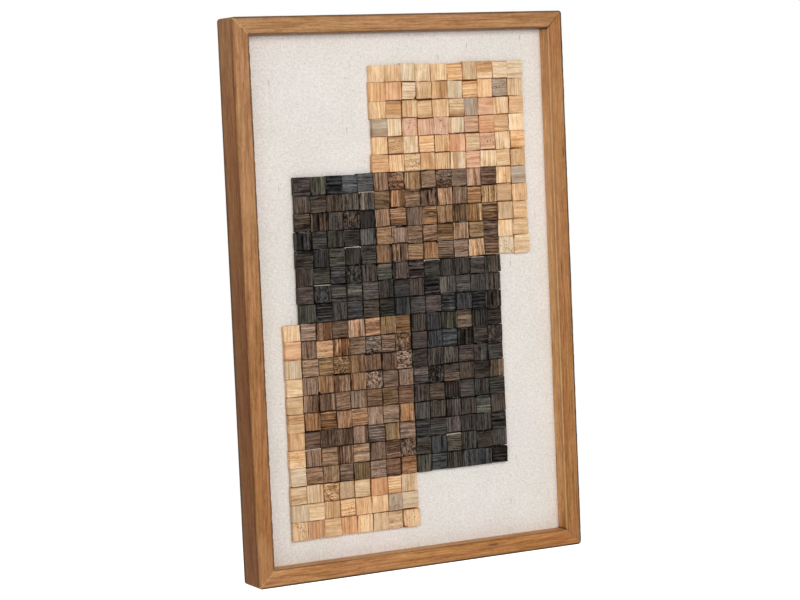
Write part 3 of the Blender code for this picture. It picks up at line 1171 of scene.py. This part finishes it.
def behind_blocks(recipe, place, rectangles):
    """1 on the paper behind the blocks, from just inside their outer edges, and 0 where it is bare."""
    x, _, z = recipe.parts(place)
    deepest = -1.0
    for (first_column, last_column), (first_row, last_row) in rectangles:
        from_left = recipe.less(x, GRID_LEFT + (first_column - 1) * COLUMN_PITCH)
        from_right = recipe.less(GRID_LEFT + last_column * COLUMN_PITCH, x)
        from_top = recipe.less(GRID_TOP - (first_row - 1) * ROW_PITCH, z)
        from_bottom = recipe.less(z, GRID_TOP - last_row * ROW_PITCH)
        depth = recipe.least(from_left, from_right, from_top, from_bottom)
        deepest = recipe.largest(deepest, depth)
    return recipe.spread(deepest, 0.0025, 0.0045)


def rough_paper():
    """Thick handmade paper: off-white, cloudy, with fibres and specks, and dark glue behind the blocks."""
    recipe = Recipe("rough_paper")
    spread, sway, noise, coat, product, total, _, _ = recipe.steps()
    place = recipe.own_place()
    x, _, z = recipe.parts(place)
    cloud = noise(place, (13,), 3.0, 0.55)
    cast = noise(place, (11,))
    pulp = noise(place, (190, 190, 250), 4.0, 0.65)
    grit = noise(place, (620,), 2.0, 0.6)
    fluff = noise(place, (380, 380, 440), 3.0, 0.6)
    shade = total(
        sway(cloud, 0.20, 0.025),
        sway(pulp, 0.20, 0.075),
        sway(fluff, 0.20, 0.065),
        sway(grit, 0.20, 0.055),
        # Painted shade: darker towards the paper's left edge, beside the left rail.
        spread(x, PAPER_LOW.x, 0.1, -0.045, 0.0),
    )
    recipe.colour = recipe.mix(spread(cast, 0.42, 0.58), *PAPER_CASTS)
    recipe.shade(shade, (0.9, 1.0, 1.1))

    # Specks of bark, and fibres: thin arcs where a stretched cell pattern passes close by.
    specks = recipe.cells(place, (85,))
    rare = recipe.parts(specks["Color"])[0]
    bark = product(spread(specks["Distance"], 0.11, 0.04), spread(rare, 0.82, 0.98))
    swerve = product(noise(place, (60,), 1.0), 0.0012)
    drift = recipe.moved(place, swerve)
    coat((0.30, 0.255, 0.21), bark, 0.75)
    for turn, threshold in ((0.7, 0.93), (-0.5, 0.95), (2.2, 0.95)):
        strands = recipe.cells(drift, (170, 45, 26), turn)
        chosen = spread(recipe.parts(strands["Color"])[0], threshold, threshold + 0.02)
        coat((0.28, 0.24, 0.20), spread(strands["Distance"], 0.17, 0.10), chosen, 0.50)
    # Painted shadow on the paper just below the top rail.
    coat((0.20, 0.13, 0.08), spread(z, OPENING_TOP - TOP_SHADOW_REACH, OPENING_TOP, 0.0, 0.60))
    spilt = spread(noise(place, (46,), 1.0), 0.42, 0.46)
    for glue, rectangles in GLUES.items():
        coat(glue, behind_blocks(recipe, place, rectangles), spilt)
    height = total(product(pulp, 1.2), product(grit, 0.5))
    return recipe.finish(0.93, height, 0.0003, specular=0.15)


def make_paper():
    """The sheet behind the blocks, glued to the board, with the slight unevenness of thick paper."""
    paper = start_box("backing_paper_sheet", PAPER_LOW, PAPER_HIGH)
    pick(paper, "FACE", lambda corners: all(near(c.y, PAPER_LOW.y) for c in corners))
    bpy.ops.mesh.subdivide(number_cuts=PAPER_CUTS)
    mode("OBJECT")
    front = [vertex.index for vertex in paper.data.vertices if near(vertex.co.y, PAPER_LOW.y)]
    press_in(paper, front, PULP_DEPTH, noise_scale=0.018)
    paper.data.materials.append(rough_paper())
    smooth(paper, 40)
    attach(paper, "root")
    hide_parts("backing_paper")


def plywood():
    """The board's back: rotary-cut veneer, pale brown, its grain upright."""
    recipe = Recipe("plywood")
    place = recipe.own_place()
    figure = recipe.noise(place, (9, 9, 1.3), 3.0, 0.5, 1.5)
    ring = recipe.maths("FRACT", recipe.product(figure, 14.0))
    late = recipe.ramp(ring, [(0.0, 0.0), (0.5, 0.2), (0.85, 1.0), (1.0, 0.0)])
    fibre = recipe.noise(place, (900, 900, 22), 3.0, 0.6)
    shade = recipe.spread(fibre, 0.25, 0.75, -0.12, 0.10)
    recipe.colour = recipe.mix(recipe.product(late, 0.45), (0.52, 0.36, 0.21), (0.36, 0.21, 0.105))
    recipe.shade(shade)
    return recipe.finish(0.75, recipe.total(fibre, late), 0.0002, specular=0.25)


def finish_board():
    """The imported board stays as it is, and gets its veneer."""
    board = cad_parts["backing_board"]
    board.data.materials.clear()
    board.data.materials.append(plywood())


# ---- room, light and camera ----
AMBIENT = 0.34
FLOOR_GLOW = 0.7
FLOOR_DROP = 0.7
FLOOR_SIZE = 60
LIGHT_DISTANCE = 4.0

# Each lamp's direction from the panel's middle, its width and its power.
LIGHTS = {
    "key": ((0.10, -1.0, 0.34), 1.6, 66.0),
    "fill": ((-0.9, -0.9, 0.1), 2.5, 26.0),
    "back": ((0.6, 1.0, 0.3), 2.5, 45.0),
}


def make_floor():
    """A plain pale floor, well below where the panel hangs."""
    deselect_all()
    bpy.ops.mesh.primitive_plane_add(size=FLOOR_SIZE, location=(0, 0, cad_low.z - FLOOR_DROP))
    floor = bpy.context.object
    floor.name = "floor"
    recipe = Recipe("pale_floor")
    floor.data.materials.append(recipe.settle({
        "Base Color": (0.9, 0.9, 0.9),
        "Roughness": 1.0,
        "Specular IOR Level": 0.0,
        "Emission Color": (1, 1, 1),
        "Emission Strength": recipe.product(recipe.seen(), FLOOR_GLOW),
    }))


def make_light(name, direction, size, power):
    """A large soft lamp, seen from the panel's middle in the given direction."""
    direction = Vector(direction).normalized()
    data = bpy.data.lights.new(name, "AREA")
    data.shape = "DISK"
    data.size = size
    data.energy = power
    lamp = bpy.data.objects.new(name, data)
    lamp.location = FACE_CENTRE + direction * LIGHT_DISTANCE
    lamp.rotation_mode = "QUATERNION"
    lamp.rotation_quaternion = direction.to_track_quat("Z", "Y")
    bpy.context.collection.objects.link(lamp)


def make_world():
    """White to the eye, softer as a light."""
    recipe = Recipe("studio", bpy.data.worlds, "Background")
    strength = recipe.spread(recipe.seen(), 0.0, 1.0, AMBIENT, 1.0)
    bpy.context.scene.world = recipe.settle({"Color": (1, 1, 1), "Strength": strength})


def make_studio():
    make_floor()
    make_world()
    for name, (direction, size, power) in LIGHTS.items():
        make_light(name, direction, size, power)
    bpy.context.scene.view_settings.view_transform = "Standard"


CAMERA_DISTANCE = 3.7667
CAMERA_SWING = math.radians(28.015)
CAMERA_RISE = math.radians(4.19)
CAMERA_AIM = Vector((-0.0272, 0.0, -0.0105))
CAMERA_ROLL = math.radians(2.5)
CAMERA_LENS = 104.5


def make_camera():
    """A long lens, well to the left of the panel and a little above it, held slightly out of level."""
    data = bpy.data.cameras.new("camera")
    data.lens = CAMERA_LENS
    data.clip_start = 0.1
    data.clip_end = 100.0
    camera = bpy.data.objects.new("camera", data)
    level = CAMERA_DISTANCE * math.cos(CAMERA_RISE)
    rise = CAMERA_DISTANCE * math.sin(CAMERA_RISE)
    offset = Vector((-level * math.sin(CAMERA_SWING), -level * math.cos(CAMERA_SWING), rise))
    camera.location = FACE_CENTRE + offset
    look = CAMERA_AIM - offset
    roll = Quaternion((0, 0, 1), -CAMERA_ROLL)
    camera.rotation_mode = "QUATERNION"
    camera.rotation_quaternion = look.to_track_quat("-Z", "Y") @ roll
    bpy.context.collection.objects.link(camera)
    bpy.context.scene.camera = camera


make_rails()
make_strips()
make_paper()
finish_board()
make_studio()
make_camera()
